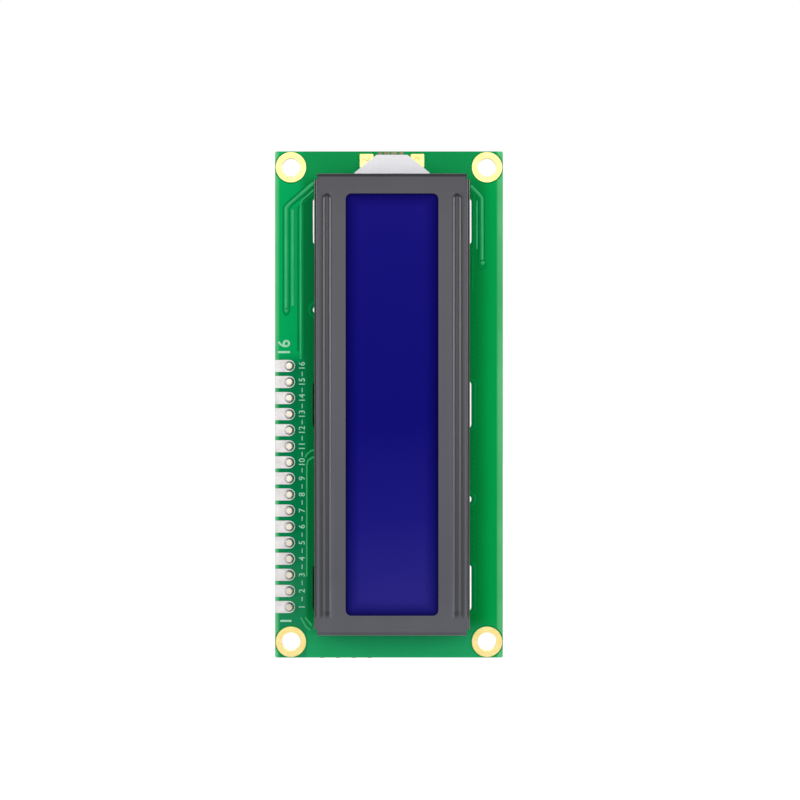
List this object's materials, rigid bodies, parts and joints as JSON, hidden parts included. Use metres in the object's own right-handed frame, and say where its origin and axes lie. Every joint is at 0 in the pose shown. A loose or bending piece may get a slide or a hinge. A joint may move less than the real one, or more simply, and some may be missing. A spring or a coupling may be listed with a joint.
{
  "type": "character lcd module",
  "caption": "Blue character display in a dark metal bezel on a green board, with a serial adapter board soldered behind and a row of through pins.",
  "frame": {"origin": "centre of the four mounting holes, on the display board's front face", "axes": "+Z along the board towards the backlight's lamp, +Y from the display face to the adapter behind, +X away from the header row"},
  "size_m": [0.036, 0.0181, 0.0808],
  "materials": {
    "board_green": "green solder mask over glass-fibre board, glossy",
    "bezel_paint": "dark grey painted steel sheet, semi-matt",
    "polarizer": "deep blue polarizing film, smooth",
    "glass": "clear float glass",
    "seal": "cured epoxy seal",
    "crystal": "liquid crystal layer, deep blue",
    "elastomer": "pink silicone strip with fine carbon layers",
    "white_film": "white diffusing film",
    "light_guide": "clear moulded acrylic",
    "frame_white": "white moulded plastic, satin",
    "lamp": "white lamp with yellow phosphor",
    "tin": "tin-plated lead or solder, satin silver",
    "gold_pin": "thin pale gold plating on brass",
    "resin_black": "black potting resin, soft gloss",
    "resistor_black": "black glazed resistor body",
    "header_black": "black moulded plastic",
    "board_black": "black solder mask over glass-fibre board",
    "trimmer_blue": "bright blue moulded plastic",
    "rotor_grey": "dark grey metal rotor",
    "brass": "spring brass",
    "element": "alumina substrate, off-white",
    "chip_black": "black epoxy moulding compound",
    "capacitor_tan": "tan ceramic capacitor body",
    "power_lamp": "clear-topped chip lamp",
    "cap_grey": "dark grey moulded plastic",
    "copper": "phosphor bronze sheet"
  },
  "bodies": {
    "module": {"display_board": "board_green", "bezel": "bezel_paint", "front_polarizer": "polarizer", "front_glass": "glass", "cell_seal": "seal", "liquid_crystal": "crystal", "rear_glass": "glass", "rear_polarizer": "polarizer", "left_elastomer": "elastomer", "right_elastomer": "elastomer", "diffuser_film": "white_film", "light_guide": "light_guide", "reflector_film": "white_film", "backlight_frame": "frame_white", "backlight_lamp": "lamp", "lamp_leads": "tin", "lamp_solder": "tin", "controller_cap": "resin_black", "driver_cap": "resin_black", "board_resistors": "resistor_black", "board_resistor_ends": "tin", "header_pins": "gold_pin", "header_spacer": "header_black", "display_solder": "tin", "adapter_solder": "tin", "adapter_board": "board_black", "trimmer_housing": "trimmer_blue", "trimmer_element": "element", "trimmer_leads": "tin", "expander_body": "chip_black", "expander_leads": "tin", "adapter_resistors": "resistor_black", "adapter_resistor_ends": "tin", "adapter_capacitors": "capacitor_tan", "adapter_capacitor_ends": "tin", "transistor_body": "chip_black", "transistor_leads": "tin", "power_lamp": "power_lamp", "power_lamp_ends": "gold_pin", "serial_header": "header_black", "serial_pins": "gold_pin", "jumper_header": "header_black", "jumper_pins": "gold_pin", "through_solder": "tin"},
    "trimmer_dial": {"trimmer_rotor": "rotor_grey", "trimmer_wiper": "brass"},
    "jumper": {"jumper_cap": "cap_grey", "jumper_contact": "copper"}
  },
  "joints": [
    {"name": "trimmer_turn", "type": "hinge", "parent": "module", "child": "trimmer_dial", "pos_m": [-0.00755, 0.00874, -0.02355], "axis": [0, 1, 0], "range_deg": [-120, 120]},
    {"name": "jumper_pull", "type": "slide", "parent": "module", "child": "jumper", "axis": [0, 0, 1], "range_m": [0, 0.007]}
  ]
}
